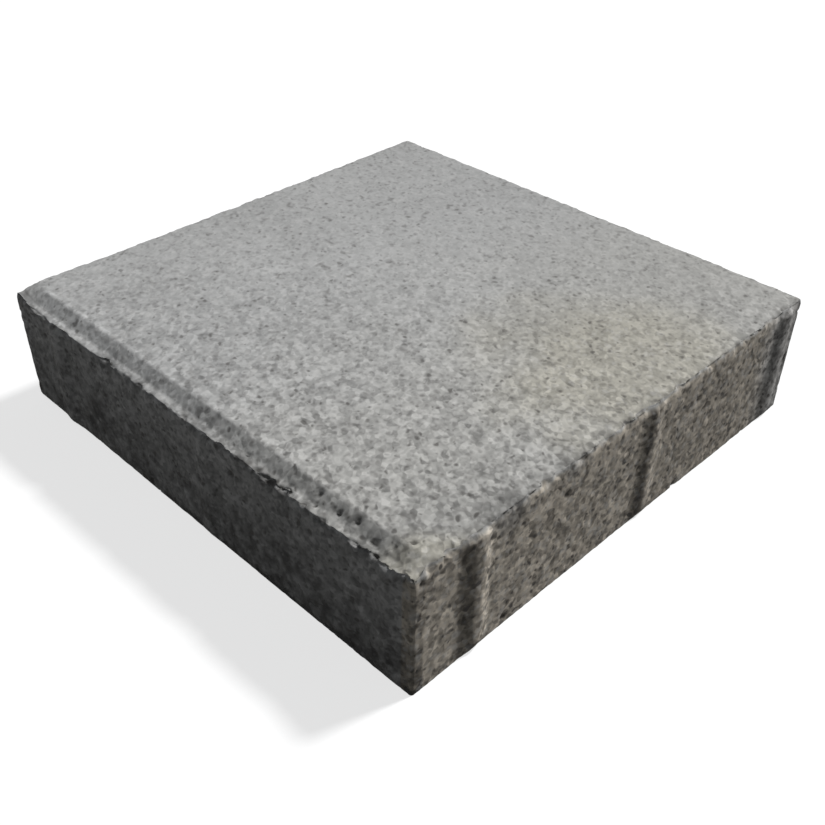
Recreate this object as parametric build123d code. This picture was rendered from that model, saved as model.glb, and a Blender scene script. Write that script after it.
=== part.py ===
from build123d import *
import os

# Concrete paving stone, pressed face up in a steel mould and laid on a 300 mm grid.
# Millimetres, +Z up. The origin is the centre of the underside, on which the stone lies.
# The -Y side is the one whose top edge has a bevel.

# Body
width = 297.5  # along X, between the side faces
depth = 297.5  # along Y, between the side faces
thickness = 70.0
corner_radius = 1.5  # the four upright corners
arris_radius = 1.0  # top edges without a bevel

# Bevel along the top of the -Y side, with a narrow level ledge at its foot
bevel_width = 6.7  # sloping part, measured level
bevel_drop = 5.5
ledge_width = 4.5

# Spacer nibs, three on each side face, round in section, each with a sloping head
nib_width = 16.0
nib_depth = 2.5  # how far a nib stands out of its face
nib_ramp = 2.0  # height of the sloping head
nib_head_gap = 1.5  # from the upper edge of the side face down to the nib
nib_root = 1.0  # how far a nib is bedded behind its face
nib_left_offset = 37.0  # from the left corner, seen from outside, to the first nib
nib_right_offset = 14.5  # from the right corner to the last nib
nib_middle_shift = 2.0  # from midway between those two, to the right, to the middle nib


def plain_block():
    """The stone without bevel and nibs, lying on the XY plane."""
    with BuildPart() as block:
        with BuildSketch():
            RectangleRounded(width, depth, corner_radius)
        extrude(amount=thickness)
        top_edges = block.faces().sort_by(Axis.Z)[-1].edges()
        fillet(top_edges, radius=arris_radius)
    return block.part


def bevel_cutter():
    """What the mould's stamp takes off along the top of the -Y side."""
    outside = -depth / 2
    ledge_height = thickness - bevel_drop
    slope_foot = outside + ledge_width
    slope = bevel_drop / bevel_width
    clearance = bevel_drop
    with BuildPart() as cutter:
        with BuildSketch(Plane.YZ):
            with BuildLine():
                Polyline(
                    (outside - clearance, ledge_height),
                    (slope_foot, ledge_height),
                    (slope_foot + bevel_width + clearance / slope, thickness + clearance),
                    (outside - clearance, thickness + clearance),
                    close=True,
                )
            make_face()
        extrude(amount=width, both=True)
    return cutter.part


def spacer_nib(face_height):
    """One nib standing out towards +X from a side face that lies in the plane X = 0."""
    radius = (nib_width**2 / 4 + nib_depth**2) / (2 * nib_depth)
    head = face_height - nib_head_gap
    shoulder = head - nib_ramp
    # the cone of the head runs on behind the face to the back of the root
    cone_top = head + nib_ramp * nib_root / nib_depth
    cone_top_radius = radius - nib_depth - nib_root
    with BuildPart() as nib:
        with BuildSketch(Plane.XZ):
            with BuildLine():
                Polyline(
                    (0, 0),
                    (radius, 0),
                    (radius, shoulder),
                    (cone_top_radius, cone_top),
                    (0, cone_top),
                    close=True,
                )
            make_face()
        revolve(axis=Axis.Z)
    bar = Pos(nib_depth - radius, 0, 0) * nib.part
    slab = Pos((nib_depth - nib_root) / 2, 0, cone_top / 2) * Box(
        nib_depth + nib_root, nib_width, cone_top
    )
    return bar & slab


def nib_places(face_length):
    """Distances of the three nibs from the middle of a side face, from left to right."""
    first = nib_left_offset - face_length / 2
    last = face_length / 2 - nib_right_offset
    middle = (first + last) / 2 + nib_middle_shift
    return [first, middle, last]


def side_nibs(turn, face_distance, face_length, face_height):
    """All nibs of the side that faces +X turned by the given angle about Z."""
    nib = spacer_nib(face_height)
    return [
        Rot(0, 0, turn) * Pos(face_distance, place, 0) * nib for place in nib_places(face_length)
    ]


def paving_stone():
    """The whole stone, one cast solid."""
    stone = plain_block() - bevel_cutter()
    nibs = side_nibs(0, width / 2, depth, thickness)
    nibs += side_nibs(90, depth / 2, width, thickness)
    nibs += side_nibs(180, width / 2, depth, thickness)
    nibs += side_nibs(270, depth / 2, width, thickness - bevel_drop)
    return stone + nibs


os.makedirs("parts", exist_ok=True)
stone = paving_stone()
export_step(stone, "parts/paving_stone.step")
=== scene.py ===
import math
from itertools import product
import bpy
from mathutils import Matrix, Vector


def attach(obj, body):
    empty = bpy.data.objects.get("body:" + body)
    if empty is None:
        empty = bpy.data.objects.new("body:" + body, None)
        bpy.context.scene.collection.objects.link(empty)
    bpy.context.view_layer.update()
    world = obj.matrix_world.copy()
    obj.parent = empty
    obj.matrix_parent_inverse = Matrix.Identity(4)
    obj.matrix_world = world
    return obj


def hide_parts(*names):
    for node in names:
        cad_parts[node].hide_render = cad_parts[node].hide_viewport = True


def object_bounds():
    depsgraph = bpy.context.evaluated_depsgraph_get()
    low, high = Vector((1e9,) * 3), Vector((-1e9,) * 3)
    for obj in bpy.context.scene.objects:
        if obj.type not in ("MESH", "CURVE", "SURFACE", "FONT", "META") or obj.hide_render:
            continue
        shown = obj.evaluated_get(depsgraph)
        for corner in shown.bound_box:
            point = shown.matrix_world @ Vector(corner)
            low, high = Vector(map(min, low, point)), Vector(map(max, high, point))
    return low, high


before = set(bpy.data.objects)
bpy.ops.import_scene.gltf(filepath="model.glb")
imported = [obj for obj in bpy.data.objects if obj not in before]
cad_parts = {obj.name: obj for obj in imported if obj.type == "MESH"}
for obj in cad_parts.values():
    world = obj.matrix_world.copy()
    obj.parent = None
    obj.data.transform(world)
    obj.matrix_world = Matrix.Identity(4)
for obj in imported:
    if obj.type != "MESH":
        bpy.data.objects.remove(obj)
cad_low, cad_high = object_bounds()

from types import SimpleNamespace

import bpy
import numpy as np
from mathutils import Matrix, Vector

# Lengths are in millimetres up to the finished mesh, which is in metres.
MM = 0.001
METRE = 1000.0

# The stone's own sizes, as its plain solid has them
nib_depth = 2.5
nib_width = 16.0
nib_ramp = 2.0
nib_head_gap = 1.5
nib_left_offset = 37.0
nib_right_offset = 14.5
nib_middle_shift = 2.0
corner_radius = 1.5
arris_radius = 1.0
bevel_width = 6.7
bevel_drop = 5.5
ledge_width = 4.5
width = (cad_high.x - cad_low.x) / MM - 2 * nib_depth
depth = (cad_high.y - cad_low.y) / MM - 2 * nib_depth
thickness = (cad_high.z - cad_low.z) / MM

# Wear of this one stone
nib_fillet = 1.3  # how much further the worn flanks of a nib run out
nib_crown = 1.35  # the lower, the more peaked a nib is
nib_flank = 1.1  # the higher, the softer its flanks run out
nib_foot = 5.0  # height below which a nib fades out towards the underside
bevel_fade = 18.0  # length over which the bevel fades out at both ends
bevel_lost_right = 3.0  # how much of its drop the bevel loses at the right end
bevel_lost_left = 3.9
worn_arris = 0.8  # share of the arris radius on the +X side and the -Y side
sharp_arris = 0.4  # the same on the other two sides
sharp_foot_radius = 0.3  # of the lower edges
foot_wear = 4.5  # how much larger that radius is at the left end of the -Y side
foot_wear_reach = 40.0  # how far back from the -Y side the foot is worn
lip_height = 8.0  # down to this far below the top, the lip of the bevel breaks away
deepest_break = 6.0
hole_depth = 1.4  # of the holes on the bevel and of those that stand out
ragged_depth = 1.3  # of the crumbled upper edges
ragged_reach = 1.8  # how far from the edge they crumble
chip_depth = 2.4
chip_reach = 2.4
nick_depth = 1.4
nick_reach = 3.0
far_foot_shift = 0.9  # how far the foot of the +X side lies out at its far end
# painted shade: the broken faces of the lip are painted darker than the key light leaves them
break_shade = 0.45  # how much darker the lip of the bevel is where it is broken off

touching = 0.01  # what lies this near to a face belongs to it
side_slack = 0.1  # a side this much further away than the outline still counts as the nearest
side_band = 6.0  # how far behind a side face its worn surface reaches at most
clearance = 0.05  # between the worn surface and the box around the plain solid
tiny = 1e-9  # stands in for a length of zero where something is divided by it


# Repeatable noise on arrays of points

# Odd factors that scatter the bits of a whole number, and the mask that keeps 32 of them
scatter = [np.uint64(factor) for factor in (374761393, 668265263, 2246822519, 3266489917)]
all_bits = np.uint64(0xFFFFFFFF)


def hashed(cells, seed):
    """A number from 0 to 1 for each whole-numbered cell, the same on every run."""
    mixed = np.uint64(seed) * scatter[3]
    for axis in range(3):
        mixed = mixed + cells[..., axis].astype(np.int64).astype(np.uint64) * scatter[axis]
    mixed = mixed & all_bits
    for shift, factor in ((15, scatter[2]), (13, scatter[3])):
        mixed = ((mixed ^ (mixed >> np.uint64(shift))) * factor) & all_bits
    mixed = mixed ^ (mixed >> np.uint64(16))
    return mixed.astype(float) / float(all_bits)


def noise(points, cell, seed):
    """Smooth noise from -1 to 1 whose bumps are about one cell wide."""
    scaled = points / cell
    corner = np.floor(scaled)
    part = scaled - corner
    blend = part * part * (3 - 2 * part)
    total = np.zeros(len(points))
    for step in product((0, 1), repeat=3):
        share = np.prod(np.where(step, blend, 1 - blend), axis=1)
        total += share * hashed(corner + step, seed)
    return 2 * total - 1


def fractal(points, cell, octaves, seed):
    """Noise with finer and weaker noise laid over it."""
    total = np.zeros(len(points))
    strength = 1.0
    for octave in range(octaves):
        total += strength * noise(points, cell / 2**octave, seed + octave)
        strength *= 0.5
    return total


def nearby_spots(points, cell, seed):
    """The cells in and around each point's own, and how far away the spot is that each one holds."""
    home = np.floor(points / cell)
    for step in product((-1, 0, 1), repeat=3):
        cells = home + step
        spot = np.stack([hashed(cells, seed + axis) for axis in range(3)], axis=1)
        yield cells, np.linalg.norm((cells + spot) * cell - points, axis=1)


def pits(points, cell, share, small, large, seed):
    """Uneven hollows of small to large radius, one to a cell: 0 outside them, 1 at their middle."""
    uneven = 1 + 0.35 * noise(points, 0.8 * large, seed + 7)
    deepest = np.zeros(len(points))
    for cells, away in nearby_spots(points, cell, seed):
        radius = small + (large - small) * hashed(cells, seed + 3) ** 2
        present = hashed(cells, seed + 4) < share
        hollow = np.clip(1 - (away * uneven / radius) ** 2, 0, 1)
        deepest = np.maximum(deepest, hollow * present)
    return deepest


def grains(points, cell, seed):
    """A number from 0 to 1 for each grain of a packed heap of grains."""
    nearest = np.full(len(points), np.inf)
    value = np.zeros(len(points))
    for cells, away in nearby_spots(points, cell, seed):
        value = np.where(away < nearest, hashed(cells, seed + 3), value)
        nearest = np.minimum(away, nearest)
    return value


def smoothstep(low, high, value):
    """0 below the low value and 1 above the high one, with a soft rise between them."""
    part = np.clip((value - low) / (high - low), 0, 1)
    return part * part * (3 - 2 * part)


# The stone's mesh: a box of fine cells, then bent into the stone's shape and worn

# Distances of the outermost grid lines from a plain edge, and from the bevelled one
edge_steps = (0.0, 0.4, 0.9, 1.6, 2.6, 3.9)
bevel_steps = (0.0, 0.5, 1.1, 1.9, 2.8, 3.7, 4.5, 5.4, 6.5, 7.7, 8.9, 10.1, 11.2, 12.4)
cells_x = 248
cells_y = 200
cells_z = 44
under_cell = 4  # how many cells of the top one cell of the underside spans, each way


def lines(length, first_steps, last_steps, cells, closer):
    """Grid lines from 0 to length: the steps at both ends, and between them ever closer lines.

    Where closer is below zero, the lines lie ever wider apart instead.
    """
    inner = cells - len(first_steps) - len(last_steps) + 2
    part = np.linspace(0, 1, inner + 1)
    part += closer * part * (1 - part)
    middle = first_steps[-1] + part * (length - last_steps[-1] - first_steps[-1])
    end = [length - step for step in reversed(last_steps[:-1])]
    return np.concatenate([first_steps[:-1], middle, end])


def grid_ring():
    """The grid places around the box, counted from the left end of the -Y side."""
    ring = [(i, 0) for i in range(cells_x)]
    ring += [(cells_x, j) for j in range(cells_y)]
    ring += [(cells_x - i, cells_y) for i in range(cells_x)]
    ring += [(0, cells_y - j) for j in range(cells_y)]
    return ring


def wall_faces(around):
    """The faces of the four walls, which have that many vertices around on each level."""
    faces = []
    for level, number in product(range(cells_z), range(around)):
        after = (number + 1) % around
        low = level * around
        high = low + around
        faces.append((low + number, low + after, high + after, high + number))
    return faces


def top_faces(vertex_at):
    """The faces of the top, given the vertex at each grid place."""
    faces = []
    for i, j in product(range(cells_x), range(cells_y)):
        corners = ((i, j), (i + 1, j), (i + 1, j + 1), (i, j + 1))
        faces.append(tuple(vertex_at[corner] for corner in corners))
    return faces


def under_faces(vertex_at):
    """The coarser faces of the underside, which take in each vertex of the ring that they touch."""
    faces = []
    steps = range(under_cell)
    for i, j in product(range(0, cells_x, under_cell), range(0, cells_y, under_cell)):
        far_i = i + under_cell
        far_j = j + under_cell
        outline = [(i, j + step) for step in steps]
        outline += [(i + step, far_j) for step in steps]
        outline += [(far_i, far_j - step) for step in steps]
        outline += [(far_i - step, j) for step in steps]
        faces.append(tuple(vertex_at[place] for place in outline if place in vertex_at))
    return faces


def grid_box():
    """Box coordinates of every vertex, with heights from 0 to 1, the faces, and the ring's length."""
    xs = lines(width, edge_steps, edge_steps, cells_x, closer=0.28) - width / 2
    ys = lines(depth, bevel_steps, edge_steps, cells_y, closer=-0.3) - depth / 2
    zs = lines(thickness, edge_steps, edge_steps, cells_z, closer=0.35) / thickness
    ring = grid_ring()
    around = len(ring)
    vertices = [(xs[i], ys[j], z) for z in zs for i, j in ring]

    top_vertex = {place: cells_z * around + number for number, place in enumerate(ring)}
    for i, j in product(range(1, cells_x), range(1, cells_y)):
        top_vertex[i, j] = len(vertices)
        vertices.append((xs[i], ys[j], 1.0))

    under_vertex = {place: number for number, place in enumerate(ring)}
    coarse_x = range(under_cell, cells_x, under_cell)
    coarse_y = range(under_cell, cells_y, under_cell)
    for i, j in product(coarse_x, coarse_y):
        under_vertex[i, j] = len(vertices)
        vertices.append((xs[i], ys[j], 0.0))

    faces = wall_faces(around) + top_faces(top_vertex) + under_faces(under_vertex)
    return np.array(vertices), faces, around


def round_corners(points):
    """Bends the four upright corners to their radius."""
    centre = np.array((width, depth)) / 2 - corner_radius
    beyond = np.maximum(np.abs(points[:, :2]) - centre, 0)
    length = np.linalg.norm(beyond, axis=1)
    longest = beyond.max(axis=1)
    inside = np.abs(points[:, :2]) - beyond
    scale = np.where(length > 0, longest / np.maximum(length, tiny), 1)[:, None]
    points[:, :2] = np.sign(points[:, :2]) * (inside + beyond * scale)


def outline_distance(points):
    """How far each point lies inside the rounded outline, and the outward direction there."""
    centre = np.array((width, depth)) / 2 - corner_radius
    beyond = np.abs(points[:, :2]) - centre
    outside = np.maximum(beyond, 0)
    length = np.linalg.norm(outside, axis=1)
    nearer = beyond.argmax(axis=1)
    flat = np.eye(2)[nearer]
    in_corner = (beyond > 0).all(axis=1)[:, None]
    direction = np.where(in_corner, outside / np.maximum(length, tiny)[:, None], flat)
    distance = corner_radius - np.where(in_corner[:, 0], length, beyond.max(axis=1))
    return distance, direction * np.sign(points[:, :2])


def top_height(points):
    """Height of the top over the underside: the bevel fades out a little at both ends."""
    from_side = points[:, 1] + depth / 2
    from_end = width / 2 - np.abs(points[:, 0])
    lost = np.where(points[:, 0] > 0, bevel_lost_right, bevel_lost_left)
    drop = bevel_drop - lost * (1 - smoothstep(0, bevel_fade, from_end))
    part = np.clip((from_side - ledge_width) / bevel_width, 0, 1)
    return thickness - drop * (1 - part)


# How much is left of the nibs of each side, from its left to its right
nib_left = {
    "+X": (1.0, 0.72, 0.82),
    "+Y": (0.9, 1.0, 0.95),
    "-X": (1.0, 0.95, 0.9),
    "-Y": (0.6, 0.5, 0.5),
}


def nib_places(face_length):
    """Distances of the three nibs from the middle of a side face, from left to right."""
    first = nib_left_offset - face_length / 2
    last = face_length / 2 - nib_right_offset
    middle = (first + last) / 2 + nib_middle_shift
    return (first, middle, last)


def nib_relief(along, face_length, height, face_height, left):
    """How far the nibs of one side face stand out, given how much of each is left."""
    head = face_height - nib_head_gap
    reach = nib_width / 2 + nib_fillet
    ramp = np.clip((head - height) / nib_ramp, 0, 1)
    foot = smoothstep(-1.0, nib_foot, height)
    relief = np.zeros(len(along))
    for place, share in zip(nib_places(face_length), left):
        away = np.abs(along - place) / reach
        section = np.clip(1 - away**nib_crown, 0, None) ** nib_flank
        relief = np.maximum(relief, nib_depth * share * section * ramp * foot)
    return relief


def add_nibs(points, on_wall):
    """Pushes the nibs out of the four side faces."""
    x, y, z = points.T.copy()
    sides = (
        ("+X", x > width / 2 - touching, y, depth, thickness, 0, 1),
        ("-X", x < touching - width / 2, -y, depth, thickness, 0, -1),
        ("+Y", y > depth / 2 - touching, -x, width, thickness, 1, 1),
        ("-Y", y < touching - depth / 2, x, width, thickness - bevel_drop, 1, -1),
    )
    for side, on_side, along, face_length, face_height, axis, outward in sides:
        here = on_wall & on_side
        relief = nib_relief(along[here], face_length, z[here], face_height, nib_left[side])
        points[here, axis] += outward * relief


# Upper corners that lie askew: the corner, how far the lean reaches along X and Y, the shift
# along X and Y, and the power of the height with which that shift grows
leaning_corners = (
    ((-1, -1), (60, 45), (-1.5, -0.6), 1),
    ((-1, 1), (120, 120), (-0.8, -0.8), 1),
    ((1, 1), (90, 60), (0.0, 1.0), 3),
)


def lean_corners(points):
    """Shifts the upper corners a little, and the foot of the +X side at its far end."""
    x, y, z = points.T
    up = z / thickness
    far_end = smoothstep(width / 3, width / 2, x) * smoothstep(-40, 148, y)
    shift = np.zeros((len(points), 2))
    shift[:, 0] = far_foot_shift * (1 - 0.5 * up) * far_end
    for corner, reach, lean, power in leaning_corners:
        away = (points[:, :2] - np.array(corner) * (width / 2, depth / 2)) / reach
        share = up**power * np.exp(-(away**2).sum(axis=1))
        shift += share[:, None] * lean
    points[:, :2] += shift


def roll_edge(points, radius, up, out, outward, direction):
    """Rolls upper edges (direction 1) or lower ones (-1) to a radius.

    Up and out tell how near each point is to the edge, from 0 to the radius.
    """
    up = np.clip(up, 0, radius)
    out = np.clip(out, 0, radius)
    near = (up > 0) & (out > 0)
    length = np.maximum(np.hypot(up, out), tiny)
    scale = np.where(near, np.maximum(up, out) / length, 1)
    points[:, :2] -= outward * (out * (1 - scale))[:, None]
    points[:, 2] -= direction * up * (1 - scale)


def round_arrises(points, on_wall, on_top, under):
    """Rounds the upper edges of the side faces, and the lower ones that are worn."""
    distance, outward = outline_distance(points)
    on_west = points[:, 0] < distance - width / 2 + side_slack
    on_north = points[:, 1] > depth / 2 - distance - side_slack
    radius = np.where(on_west | on_north, sharp_arris, worn_arris) * arris_radius
    up = np.where(on_top, radius, points[:, 2] - top_height(points) + radius)
    out = np.where(on_wall, radius, radius - distance)
    roll_edge(points, radius, up, out, outward, 1)
    # the foot of the -Y side is worn round, most of all to the left
    to_the_left = 1 - smoothstep(-width / 2, width / 3, points[:, 0])
    to_the_south = 1 - smoothstep(0, foot_wear_reach, points[:, 1] + depth / 2)
    foot_radius = sharp_foot_radius + foot_wear * to_the_left * to_the_south
    down = np.where(under, foot_radius, foot_radius - points[:, 2])
    out = np.where(on_wall, foot_radius, foot_radius - distance)
    roll_edge(points, foot_radius, down, out, outward, -1)


def vertex_normals(points, faces):
    """Outward directions at the vertices, from the first four corners of the faces around them."""
    total = np.zeros_like(points)
    quads = np.array([face[:4] for face in faces])
    a, b, c, d = (points[quads[:, n]] for n in range(4))
    normal = np.cross(c - a, d - b)
    for n in range(4):
        np.add.at(total, quads[:, n], normal)
    return total / np.maximum(np.linalg.norm(total, axis=1), tiny)[:, None]


# Places along the lip of the bevel where it is broken away: half the width, the depth, and how
# flat the broken face lies, from 0 to 1
lip_breaks = {
    -128: (9.0, 0.9, 0.8),
    -103: (4.0, 1.0, 1.0),
    -90: (3.5, 0.9, 1.0),
    -67: (4.5, 2.3, 0.0),
    -60: (3.0, 1.0, 1.0),
    -51: (3.0, 1.4, 1.0),
    -46: (2.5, 1.8, 0.0),
    -37: (3.0, 2.2, 0.0),
    -3: (4.5, 2.4, 1.0),
    25: (3.0, 1.4, 0.0),
    57: (3.5, 2.2, 1.0),
    62: (2.5, 3.4, 0.0),
    66: (2.0, 1.2, 0.7),
    71: (3.2, 2.7, 0.0),
    95: (3.0, 1.2, 1.0),
    113: (2.5, 1.4, 1.0),
    121: (2.5, 1.8, 0.0),
    125: (2.5, 1.2, 0.5),
    133: (3.0, 0.7, 0.0),
    142: (2.5, 1.0, 0.0),
}

# Holes that stand out: their middle and their radius
marked_holes = (
    (135.0, -135.0, 70.0, 1.3),
    (109.0, -141.0, 67.0, 1.2),
    (99.0, -142.5, 66.0, 1.2),
    (58.5, -147.5, 64.5, 1.4),
    (67.8, -147.5, 64.0, 1.7),
    (72.2, -146.5, 64.5, 1.3),
    (82.3, -147.5, 64.5, 1.5),
    (125.8, -147.5, 64.5, 1.5),
    (148.7, -90.9, 4.3, 2.2),
    (148.7, 44.5, 1.5, 1.9),
    (148.7, 133.6, 2.0, 2.0),
)

# How much the upper edge of each side is worn
edge_wear = {"+X": 1.2, "-Y": 0.35, "-X": 0.3, "+Y": 0.25}


def lip_cut(points):
    """How far in the lip of the bevel is broken off, and how flat the break lies."""
    loose = 0.75 * grains(points, cell=3.4, seed=90) + 0.25 * grains(points, cell=2.2, seed=97)
    cut = 1.2 * loose + 0.3 * noise(points, cell=9.0, seed=94)
    flat = np.zeros(len(points))
    for place, (wide, deep, flatness) in lip_breaks.items():
        beside = np.clip(1 - ((points[:, 0] - place) / wide) ** 2, 0, 1)
        cut += beside * deep * (0.6 + 0.8 * loose)
        flat = np.maximum(flat, flatness * np.sqrt(beside))
    return np.clip(cut, 0, deepest_break), flat


def cut_lip(points, distance, outward):
    """Breaks the lip of the bevel off along a ragged slanting face, and tells where it did."""
    below = top_height(points) - points[:, 2]
    near_lip = (outward[:, 1] < -0.9) & (below < lip_height)
    cut, flat = lip_cut(points)
    slope = 0.55 + 0.35 * flat
    inward = 0.75 - 0.35 * flat
    downward = 0.2 + 0.5 * flat
    inside = np.clip(distance, 0, None) + slope * np.clip(below, 0, None)
    shift = np.where(near_lip, np.clip(cut - inside, 0, None), 0)
    points[:, 1] += inward * shift
    points[:, 2] -= downward * shift
    return 0.5 * shift * (1 - flat)


def edge_strength(points):
    """How much the upper edge of the nearest side face is worn."""
    x, y = points[:, 0], points[:, 1]
    away = {"+X": width / 2 - x, "-Y": depth / 2 + y, "-X": width / 2 + x, "+Y": depth / 2 - y}
    worn = np.zeros(len(points))
    total = np.zeros(len(points))
    for side, distance in away.items():
        near = np.exp(-np.clip(distance, 0, None) / 2)
        worn += near * edge_wear[side]
        total += near
    return worn / np.maximum(total, tiny)


def edge_damage(points, from_edge):
    """How deep the upper edges are broken off, and how much of them is dark like a pore, from dirt
    and painted shade.
    """
    ragged = grains(points, cell=3.0, seed=40) * np.exp(-from_edge / ragged_reach)
    chips = np.clip(1.7 * noise(points, cell=4.6, seed=44) - 0.1, 0, 1)
    chips *= np.exp(-from_edge / chip_reach)
    nicks = pits(points, cell=5.0, share=0.6, small=1.6, large=3.4, seed=50)
    nicks *= np.exp(-((from_edge / nick_reach) ** 2))
    deep = ragged_depth * ragged + chip_depth * chips + nick_depth * nicks
    # dirt and painted shade in the nicks, chips and crumbled edge
    dark = np.maximum(np.maximum(0.6 * nicks, 0.7 * chips), 0.5 * ragged)
    strength = edge_strength(points)
    return strength * deep, strength * dark


def marked_share(points):
    """The holes that stand out: 0 outside them, 1 at their middle."""
    marked = np.zeros(len(points))
    for x, y, z, radius in marked_holes:
        away = np.linalg.norm(points - (x, y, z), axis=1)
        marked = np.maximum(marked, np.clip(1.3 - (away / radius) ** 2, 0, 1))
    return marked


def cast_holes(points, sideness, on_bevel):
    """How deep the pores and holes of the cast surface are, and how much of it is a pore, painted
    dark as shade.
    """
    small = pits(points, cell=5.0, share=0.4, small=0.7, large=2.0, seed=20)
    large = pits(points, cell=11.0, share=0.45, small=1.3, large=3.0, seed=30)
    bevel_holes = pits(points, cell=7.0, share=0.6, small=1.2, large=3.2, seed=60)
    bevel_holes *= on_bevel * smoothstep(-60, 60, points[:, 0])
    marked = marked_share(points)
    above_foot = smoothstep(0.5, 5.0, points[:, 2])
    deep = small * (0.25 + 0.45 * sideness) + large * (0.15 + sideness * above_foot)
    deep += hole_depth * (bevel_holes + marked)
    pore = np.clip(small * (0.2 + 0.5 * sideness) + large * sideness + bevel_holes, 0, 1)
    return deep, np.maximum(pore, marked)


def concrete_wear(points, sideness, from_edge, on_bevel):
    """How deep the cast surface lies below its ideal shape, and how much of it is a pore, painted
    dark as shade.
    """
    grain = 0.07 * noise(points, cell=2.4, seed=11) + 0.11 * noise(points, cell=4.2, seed=12)
    waves = 0.1 - 0.35 * sideness + 0.12 * noise(points, cell=28.0, seed=13)
    deep, pore = cast_holes(points, sideness, on_bevel)
    broken, dark = edge_damage(points, from_edge)
    return grain + waves + deep + broken, np.maximum(pore, dark)


# Stain colour, painted light and painted shade

# Painted shadow and painted highlight beside the nibs of the +X side: from and to, from its left
# corner, and its strength
nib_painted_light = (
    # a positive strength paints shadow, a negative one paints a highlight
    (25.0, 38.5, 0.4),
    (40.0, 47.0, -0.14),
    (155.5, 160.8, 0.66),
    (275.5, 283.5, 0.38),
    (288.0, 295.0, 0.22),
)

# Dark spots on the ledge: their middle along X and half their width
ledge_spots = {-61: 5, -48: 4, -38: 3, 1: 4, 40: 5, 55: 7, 71: 3, 95: 3, 119: 3, 127: 3}

# Dark bluish spots by the +X side: their middle and how far they reach
bluish_spots = (
    (147.0, -93.0, 69.0, 15.0),
    (147.5, -49.0, 69.0, 9.0),
    (149.0, -23.0, 11.0, 9.0),
)


def bluish_share(points, blur):
    """The bluish spots: 0 outside them, 1 at their middle."""
    bluish = np.zeros(len(points))
    for x, y, z, reach in bluish_spots:
        away = np.linalg.norm(points - (x, y, z), axis=1) + 0.2 * blur
        bluish = np.maximum(bluish, 1 - smoothstep(0.25 * reach, reach, away))
    return bluish


def round_patch(points, middle, inner, outer, blur, squeeze=1.0):
    """A patch of the top: 1 within its inner radius and 0 beyond its outer one."""
    away = np.hypot(points[:, 0] - middle[0], squeeze * (points[:, 1] - middle[1]))
    return 1 - smoothstep(inner, outer, away + blur)


def surface_zones(points, sideness):
    """Where each point lies, as shares from 0 to 1, and a length that blurs the edges of stains."""
    x, y = points[:, 0], points[:, 1]
    blur = 18 * fractal(points, cell=40.0, octaves=3, seed=70)
    from_side = y + depth / 2
    frayed = from_side + 0.9 * noise(points, cell=5.0, seed=86)
    slope = (1 - sideness) * (1 - smoothstep(-0.6, 2.0, frayed - ledge_width - bevel_width))
    return SimpleNamespace(
        east=sideness * (x > width / 2 - side_band),
        west=sideness * (x < side_band - width / 2),
        north=sideness * (y > depth / 2 - side_band),
        south=sideness * (y < side_band - depth / 2),
        slope=slope,
        ledge=slope * (1 - smoothstep(-0.5, 0.5, from_side - ledge_width)),
        front_corner=round_patch(points, middle=(146, -136), inner=8, outer=26, blur=blur / 2),
        bluish=bluish_share(points, blur),
        blur=blur,
    )


def top_shade(points, sideness, zones):
    """The top is dull behind the front corner and a little lighter in the middle."""
    x, y = points[:, 0], points[:, 1]
    dull = smoothstep(95, 140, x + zones.blur / 2)
    dull *= (1 - smoothstep(-100, -50, y + zones.blur / 2)) * (1 - zones.front_corner)
    middle = np.exp(-((x / 70) ** 2) - (y / 70) ** 2)
    return (1 - sideness) * (0.06 * middle - 0.14 * dull)


def bevel_shade(points, zones):
    """The slope of the bevel has painted light, most of all to the left, and is darker at the left
    end; its ledge has dark spots.
    """
    x = points[:, 0]
    # painted light on the slope of the bevel
    change = (zones.slope - zones.ledge) * (0.38 - 0.24 * smoothstep(-80, 80, x))
    change += 0.1 * zones.slope * noise(points, cell=3.2, seed=87)
    change -= 0.5 * zones.slope * (1 - smoothstep(4, 18, x + width / 2))
    change -= 0.15 * zones.ledge * smoothstep(-100, -65, x)
    for place, wide in ledge_spots.items():
        change -= 0.25 * zones.ledge * np.exp(-(((x - place) / wide) ** 2))
    return change


def south_shade(points, zones):
    """The -Y side is mottled, darker towards the bottom with painted shade, and darkest at its foot
    with a painted contact shadow and moisture.
    """
    x, z = points[:, 0], points[:, 2]
    mottle = 0.13 * noise(points, cell=14.0, seed=82) + 0.05 * noise(points, cell=7.0, seed=83)
    low_mottle = 0.38 * noise(points, cell=3.4, seed=88) + 0.34 * noise(points, cell=7.5, seed=89)
    # painted shade: darker towards the bottom, where less light reaches near the ground
    low_painted_shade = 1 - smoothstep(8, 60, z + 0.4 * zones.blur)
    # painted contact shadow along the foot, with moisture
    foot = 1 - smoothstep(1, 6, z + 1.5 * noise(points, cell=6.0, seed=81))
    right_half = smoothstep(-20, 10, x + zones.blur / 2)
    left_end = 1 - smoothstep(-100, 0, x)
    darker = 0.1 + mottle + low_painted_shade * (0.4 + low_mottle) + 0.5 * foot
    return -zones.south * (darker + 0.04 * right_half + 0.07 * left_end)


def east_shade(points, zones):
    """The +X side is darker towards its far end, and has painted shadow and highlight beside its
    nibs.
    """
    y = points[:, 1]
    from_left = y + depth / 2
    darker = 0.11 * smoothstep(-20, 60, y)
    # painted shadow and painted highlight beside each nib
    for start, end, strength in nib_painted_light:
        begun = smoothstep(start - 1.5, start + 1.5, from_left)
        over = smoothstep(end - 2, end + 2, from_left)
        darker += strength * begun * (1 - over)
    return -zones.east * darker


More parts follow.
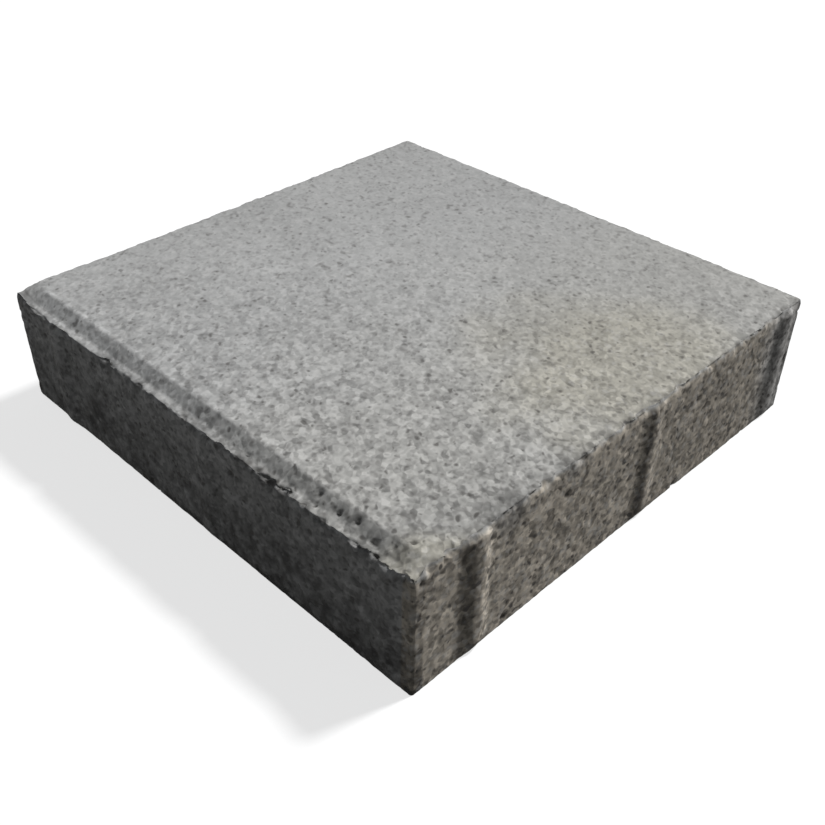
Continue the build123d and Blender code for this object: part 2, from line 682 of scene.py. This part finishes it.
def nib_shade(points, zones):
    """The other two sides have a strip of dirt and painted shade along both flanks of each nib."""
    x, y, z = points.T
    darker = np.zeros(len(points))
    for along, face_length, on_side in ((-x, width, zones.north), (-y, depth, zones.west)):
        for place in nib_places(face_length):
            away = (np.abs(along - place) - 0.6 * nib_width) / 3
            # painted shade, with dirt, in the crease along each root of a nib
            darker += on_side * np.exp(-(away**2))
    return -0.3 * darker * (1 - smoothstep(62, 68, z))


def warmth_of(points, sideness, zones):
    """Yellowish dirt, from 0 to 1: on the right half of the top and on the +X side."""
    x, y = points[:, 0], points[:, 1]
    patch = round_patch(points, (110, 30), inner=20, outer=75, blur=zones.blur, squeeze=0.8)
    on_top = np.maximum(0.75 * patch, 0.7 * zones.front_corner)
    on_top += 0.3 * smoothstep(-60, 120, x + zones.blur)
    on_east = zones.east * (1 - 0.9 * smoothstep(110, 136, y + zones.blur / 2))
    warmth = np.where(sideness > 0, 0, on_top) + on_east - 0.5 * zones.bluish * sideness
    return np.clip(warmth, 0, 1)


def grit_of(points, sideness, zones):
    """Strength of the grain: weakest at the back left of the top, strongest on the +X side."""
    on_top = 0.2 + 0.9 * smoothstep(-150, 250, points[:, 0] - points[:, 1]) + 0.1 * zones.slope
    on_side = 0.9 + 0.75 * zones.east + 0.25 * zones.south
    return on_top + (on_side - on_top) * sideness


def stains_and_painted_light(points, sideness):
    """Broad differences of colour: warmth from 0 to 1, shade as a factor of stain colour and painted
    light and shade, grit as its strength.
    """
    zones = surface_zones(points, sideness)
    shade = 1 + 0.03 * noise(points, cell=35.0, seed=80) - 0.3 * zones.bluish
    shade += top_shade(points, sideness, zones) + bevel_shade(points, zones)
    shade += south_shade(points, zones) + east_shade(points, zones) + nib_shade(points, zones)
    warmth = warmth_of(points, sideness, zones)
    return {"warmth": warmth, "shade": shade, "grit": grit_of(points, sideness, zones)}


def stone_mesh():
    """The worn stone: its vertices, its faces, and the values that its colour follows."""
    boxed, faces, around = grid_box()
    points = boxed.copy()
    ring_count = (cells_z + 1) * around
    on_wall = np.arange(len(points)) < ring_count
    on_top = boxed[:, 2] == 1.0
    under = boxed[:, 2] == 0.0
    round_corners(points)
    height = top_height(points)
    points[:, 2] = boxed[:, 2] * height
    add_nibs(points, on_wall)
    round_arrises(points, on_wall, on_top, under)
    distance, outward = outline_distance(points)
    broken_off = cut_lip(points, distance, outward)
    distance = outline_distance(points)[0]
    lean_corners(points)

    normals = vertex_normals(points, faces)
    below = np.clip(height - points[:, 2], 0, None)
    from_edge = np.hypot(np.clip(distance, 0, None), below)
    # what lies a little below the top looks like the sides, and starts along a ragged line
    uneven = below + noise(points, cell=2.6, seed=15)
    sideness = np.where(on_top & ~on_wall, 0.0, 1.0) * smoothstep(0.7, 2.8, uneven)
    on_bevel = smoothstep(0.3, 1.5, thickness - height) * (1 - sideness)
    wear, pore = concrete_wear(points, sideness, from_edge, on_bevel)
    wear = np.where(under & ~on_wall, 0.0, wear)
    points -= normals * wear[:, None]
    most = np.array((width / 2 + nib_depth, depth / 2 + nib_depth)) - clearance
    points[:, :2] = np.clip(points[:, :2], -most, most)
    points[:, 2] = np.clip(points[:, 2], 0, thickness)

    layers = {"side": sideness, "pore": pore, **stains_and_painted_light(points, sideness)}
    # painted shade on the broken faces of the lip
    layers["shade"] *= 1 - break_shade * np.clip(broken_off, 0, 1) * (sideness > 0.5)
    return points, faces, layers


points, faces, layers = stone_mesh()
mesh = bpy.data.meshes.new("cast_stone")
mesh.from_pydata((points * MM).tolist(), [], faces)
for name, values in layers.items():
    layer = mesh.attributes.new(name, "FLOAT", "POINT")
    layer.data.foreach_set("value", values.astype(np.float32))
mesh.shade_smooth()
stone = bpy.data.objects.new("cast_stone", mesh)
bpy.context.collection.objects.link(stone)


# Material

class Graph:
    """Builds a node tree line by line."""

    def __init__(self, tree):
        tree.nodes.clear()
        self.tree = tree

    def add(self, kind, **values):
        node = self.tree.nodes.new(kind)
        for name, value in values.items():
            setattr(node, name, value)
        return node

    def link(self, source, target):
        self.tree.links.new(source, target)

    def put(self, socket, value):
        if isinstance(value, bpy.types.NodeSocket):
            self.link(value, socket)
        else:
            socket.default_value = value

    def math(self, operation, *values):
        """A step of arithmetic."""
        node = self.add("ShaderNodeMath", operation=operation)
        for socket, value in zip(node.inputs, values):
            self.put(socket, value)
        return node.outputs[0]

    def vector(self, operation, *values):
        """The node of a step of vector arithmetic."""
        node = self.add("ShaderNodeVectorMath", operation=operation)
        for socket, value in zip(node.inputs, values):
            self.put(socket, value)
        return node

    def ramp(self, value, low, high, start=0.0, end=1.0):
        """From start, at the low value and below, to end, at the high one and above."""
        node = self.add("ShaderNodeMapRange", clamp=True)
        self.put(node.inputs["Value"], value)
        node.inputs["From Min"].default_value = low
        node.inputs["From Max"].default_value = high
        node.inputs["To Min"].default_value = start
        node.inputs["To Max"].default_value = end
        return node.outputs[0]

    def mix(self, share, first, second, blend="MIX"):
        """Two colours mixed, with that share of the second."""
        node = self.add("ShaderNodeMix", data_type="RGBA", blend_type=blend)
        sockets = (node.inputs[0], node.inputs[6], node.inputs[7])
        for socket, value in zip(sockets, (share, first, second)):
            self.put(socket, value)
        return node.outputs[2]

    def times(self, colour, factor):
        """A colour multiplied by another one, or by a number."""
        return self.mix(1.0, colour, factor, "MULTIPLY")

    def layer(self, name):
        """A value that the mesh holds for each vertex."""
        return self.add("ShaderNodeAttribute", attribute_name=name).outputs["Fac"]

    def noise_node(self, place, size, detail, seed):
        """The node of noise whose bumps are about that size."""
        node = self.add("ShaderNodeTexNoise", noise_dimensions="4D")
        self.link(place, node.inputs["Vector"])
        node.inputs["W"].default_value = seed
        node.inputs["Scale"].default_value = METRE / size
        node.inputs["Detail"].default_value = detail
        return node

    def noise(self, place, size, detail, seed):
        """Noise from 0 to 1."""
        return self.noise_node(place, size, detail, seed).outputs["Fac"]

    def moved(self, place, size, most, seed):
        """The same place, pushed about a little by noise, so that round shapes come out uneven."""
        push = self.noise_node(place, size, 1.0, seed).outputs["Color"]
        centred = self.vector("SUBTRACT", push, (0.5, 0.5, 0.5)).outputs[0]
        return self.vector("MULTIPLY_ADD", centred, (most * MM,) * 3, place).outputs[0]

    def drawn_out(self, place, line, factor):
        """Squeezes the place along one line, so that patterns come out longer that way."""
        along = self.vector("DOT_PRODUCT", place, line).outputs["Value"]
        back = self.vector("SCALE", line)
        self.link(self.math("MULTIPLY", along, 1 / factor - 1), back.inputs["Scale"])
        return self.vector("ADD", place, back.outputs[0]).outputs[0]

    def cells(self, place, size, feature, seed):
        """The node of cells scattered in space, and a number from 0 to 1 for each cell."""
        shifted = self.vector("ADD", place, (seed, 0.37 * seed, 0.71 * seed)).outputs[0]
        node = self.add("ShaderNodeTexVoronoi", feature=feature, voronoi_dimensions="3D")
        self.link(shifted, node.inputs["Vector"])
        node.inputs["Scale"].default_value = METRE / size
        chance = self.add("ShaderNodeSeparateColor")
        self.link(node.outputs["Color"], chance.inputs[0])
        return node, chance.outputs[0]

    def packed(self, place, size, soft, seed):
        """A soft patchwork of grains, each of its own number, from -0.5 to 0.5."""
        node, chance = self.cells(place, size, "SMOOTH_F1", seed)
        node.inputs["Smoothness"].default_value = soft
        return self.math("SUBTRACT", chance, 0.5)

    def dots(self, place, size, least, most, soft, growth, seed):
        """Grains scattered one to a cell, of least to most radius: 1 inside them and 0 between."""
        node, chance = self.cells(place, size, "F1", seed)
        radius = self.math("MULTIPLY_ADD", self.math("POWER", chance, 2.0), most - least, least)
        radius = self.math("MULTIPLY", radius, growth)
        away = self.math("MULTIPLY", node.outputs["Distance"], size)
        return self.ramp(self.math("SUBTRACT", radius, away), -soft / 2, soft / 2)


top_colour = (0.413, 0.413, 0.408, 1)
# painted light: the sides are lighter than the top, for light that the grazing key gives the +X side
# too little of
side_colour = (0.5, 0.49, 0.475, 1)
top_warm_tint = (1.03, 0.99, 0.88, 1)
side_warm_tint = (1.08, 0.99, 0.86, 1)
light_grain_colour = (0.64, 0.63, 0.61, 1)
dark_grain_colour = (0.12, 0.115, 0.11, 1)
# painted shade for hollows that the shape does not have
hollow_shade_colour = (0.07, 0.065, 0.06, 1)
# painted shade inside the pores and holes
pore_shade_colour = (0.06, 0.055, 0.05, 1)
grain_line = (0.581, -0.599, 0.551)  # the direction along which the grains are longest
grain_stretch = 1.4


def stained_colour(graph):
    """The plain colour of top and sides, the sides painted lighter as painted light, with warm stain
    colour and shades.
    """
    side = graph.layer("side")
    colour = graph.mix(side, top_colour, side_colour)
    tint = graph.mix(side, top_warm_tint, side_warm_tint)
    colour = graph.mix(graph.layer("warmth"), colour, graph.times(colour, tint))
    return graph.times(colour, graph.layer("shade"))


def mottled(graph, colour, place, coarse, fine, grit):
    """The colour with soft patches of lighter and darker concrete."""
    mottle = graph.math("MULTIPLY_ADD", coarse, 0.3, graph.math("MULTIPLY", fine, 0.9))
    patches = graph.packed(place, size=2.6, soft=0.35, seed=1.2)
    mottle = graph.math("MULTIPLY_ADD", patches, 0.62, mottle)
    colour = graph.times(colour, graph.math("MULTIPLY_ADD", mottle, grit, 1.0))
    cloud = graph.noise(place, size=45.0, detail=3.0, seed=3.0)
    return graph.times(colour, graph.ramp(cloud, 0.3, 0.7, 0.95, 1.05))


def grained(graph, colour, place, coarse, fine, grit):
    """The colour with light and dark grains, and painted shade for hollows and for open pores."""
    uneven = graph.moved(place, size=4.0, most=4.0, seed=6.0)
    growth = graph.math("MULTIPLY_ADD", grit, 0.15, 0.75)
    more = graph.math("MULTIPLY_ADD", coarse, -1.6, growth)
    less = graph.math("MULTIPLY_ADD", coarse, 1.6, growth)
    light = graph.dots(uneven, size=3.4, least=0.7, most=1.7, soft=1.2, growth=less, seed=0.3)
    dark = graph.dots(uneven, size=2.8, least=0.5, most=1.35, soft=1.2, growth=more, seed=0.6)
    # painted shade: dark dots standing for shadowed hollows
    hollow = graph.dots(uneven, size=4.6, least=0.4, most=1.3, soft=0.9, growth=more, seed=0.9)
    pore = graph.math("MULTIPLY_ADD", fine, 1.5, graph.layer("pore"))
    for share, grit_share, least_share, grain_colour in (
        (light, 0.15, 0.15, light_grain_colour),
        (dark, 0.25, 0.2, dark_grain_colour),
        (hollow, 0.3, 0.4, hollow_shade_colour),
        # painted shade in the pores, nicks and chips
        (graph.ramp(pore, 0.1, 0.6), 0.0, 0.65, pore_shade_colour),
    ):
        strength = graph.math("MULTIPLY_ADD", grit, grit_share, least_share)
        colour = graph.mix(graph.math("MULTIPLY", share, strength), colour, grain_colour)
    return colour


def concrete_material():
    """Matt, fine-grained, open-pored cast concrete."""
    material = bpy.data.materials.new("cast_concrete")
    material.use_nodes = True
    graph = Graph(material.node_tree)
    place = graph.add("ShaderNodeTexCoord").outputs["Object"]
    place = graph.drawn_out(place, grain_line, grain_stretch)
    coarse = graph.math("SUBTRACT", graph.noise(place, size=6.5, detail=0.0, seed=1.0), 0.5)
    fine = graph.math("SUBTRACT", graph.noise(place, size=2.9, detail=0.3, seed=2.0), 0.5)
    grit = graph.layer("grit")
    colour = mottled(graph, stained_colour(graph), place, coarse, fine, grit)
    colour = grained(graph, colour, place, coarse, fine, grit)

    bump = graph.add("ShaderNodeBump")
    bump.inputs["Strength"].default_value = 0.6
    bump.inputs["Distance"].default_value = MM
    relief = graph.math("MULTIPLY_ADD", coarse, 0.5, graph.math("MULTIPLY", fine, 0.35))
    graph.link(relief, bump.inputs["Height"])

    shader = graph.add("ShaderNodeBsdfPrincipled")
    shader.inputs["Roughness"].default_value = 0.92
    shader.inputs["Specular IOR Level"].default_value = 0.25
    graph.link(colour, shader.inputs["Base Color"])
    graph.link(bump.outputs[0], shader.inputs["Normal"])
    output = graph.add("ShaderNodeOutputMaterial")
    graph.link(shader.outputs[0], output.inputs["Surface"])
    return material


mesh.materials.append(concrete_material())
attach(stone, "root")
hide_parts("paving_stone")


# Floor, light and camera

floor_size = 30.0  # metres
floor_bounce = (0.09, 0.09, 0.09, 1)  # colour of the floor in the light that it throws back
floor_tone = (0.36, 0.36, 0.36, 1)  # colour that the camera sees, and that a shadow darkens
floor_glow = 0.72  # what lifts that colour to white
room_light = (0.11, 0.115, 0.12, 1)
white = (1, 1, 1, 1)


def seen_ray(graph):
    """1 for rays by which the camera sees a thing, also in a mirror or through glass."""
    rays = graph.add("ShaderNodeLightPath").outputs
    seen = graph.math("MAXIMUM", rays["Is Camera Ray"], rays["Is Glossy Ray"])
    return graph.math("MAXIMUM", seen, rays["Is Transmission Ray"])


def floor_material():
    """White to the camera, save for the stone's shadow, and dim in the light it throws back."""
    material = bpy.data.materials.new("floor")
    material.use_nodes = True
    graph = Graph(material.node_tree)
    unseen = graph.add("ShaderNodeBsdfDiffuse")
    unseen.inputs["Color"].default_value = floor_bounce
    lit = graph.add("ShaderNodeBsdfDiffuse")
    lit.inputs["Color"].default_value = floor_tone
    glow = graph.add("ShaderNodeEmission")
    glow.inputs["Strength"].default_value = floor_glow
    both = graph.add("ShaderNodeAddShader")
    graph.link(lit.outputs[0], both.inputs[0])
    graph.link(glow.outputs[0], both.inputs[1])
    choice = graph.add("ShaderNodeMixShader")
    graph.link(seen_ray(graph), choice.inputs[0])
    graph.link(unseen.outputs[0], choice.inputs[1])
    graph.link(both.outputs[0], choice.inputs[2])
    output = graph.add("ShaderNodeOutputMaterial")
    graph.link(choice.outputs[0], output.inputs["Surface"])
    return material


def studio_world():
    """Even light from all around, before a white background."""
    world = bpy.data.worlds.new("studio")
    world.use_nodes = True
    graph = Graph(world.node_tree)
    background = graph.add("ShaderNodeBackground")
    graph.link(graph.mix(seen_ray(graph), room_light, white), background.inputs["Color"])
    output = graph.add("ShaderNodeOutputWorld")
    graph.link(background.outputs[0], output.inputs["Surface"])
    return world


half = floor_size / 2
floor_corners = [(-half, -half, 0), (half, -half, 0), (half, half, 0), (-half, half, 0)]
floor_mesh = bpy.data.meshes.new("floor")
floor_mesh.from_pydata(floor_corners, [], [(0, 1, 2, 3)])
floor_mesh.materials.append(floor_material())
floor = bpy.data.objects.new("floor", floor_mesh)
bpy.context.collection.objects.link(floor)

bpy.context.scene.world = studio_world()

key_direction = Vector((0.21, 0.74, 1.0)).normalized()
key = bpy.data.lights.new("key", "SUN")
key.angle = math.radians(7.6)
key.energy = 3.1
key_lamp = bpy.data.objects.new("key", key)
key_lamp.location = key_direction
key_lamp.rotation_mode = "QUATERNION"
key_lamp.rotation_quaternion = key_direction.to_track_quat("Z", "Y")
bpy.context.collection.objects.link(key_lamp)

# The camera of the photograph, which is 825 pixels wide and high
picture_size = 825
focal_pixels = 1069.2
azimuth = math.radians(43.88)
pitch = math.radians(36.777)
roll = math.radians(1.208)
camera_place = Vector((346.2, -357.0, 362.7)) * MM
forward = Vector((
    -math.sin(azimuth) * math.cos(pitch),
    math.cos(azimuth) * math.cos(pitch),
    -math.sin(pitch),
))
level_right = Vector((math.cos(azimuth), math.sin(azimuth), 0))
level_up = level_right.cross(forward)
right = level_right * math.cos(roll) + level_up * math.sin(roll)
up = level_up * math.cos(roll) - level_right * math.sin(roll)
turned = Matrix((right, up, -forward)).transposed().to_4x4()
camera_data = bpy.data.cameras.new("camera")
camera_data.sensor_width = 36.0
camera_data.lens = camera_data.sensor_width * focal_pixels / picture_size
camera = bpy.data.objects.new("camera", camera_data)
camera.matrix_world = Matrix.Translation(camera_place) @ turned
bpy.context.collection.objects.link(camera)
bpy.context.scene.camera = camera
bpy.context.scene.view_settings.view_transform = "Standard"
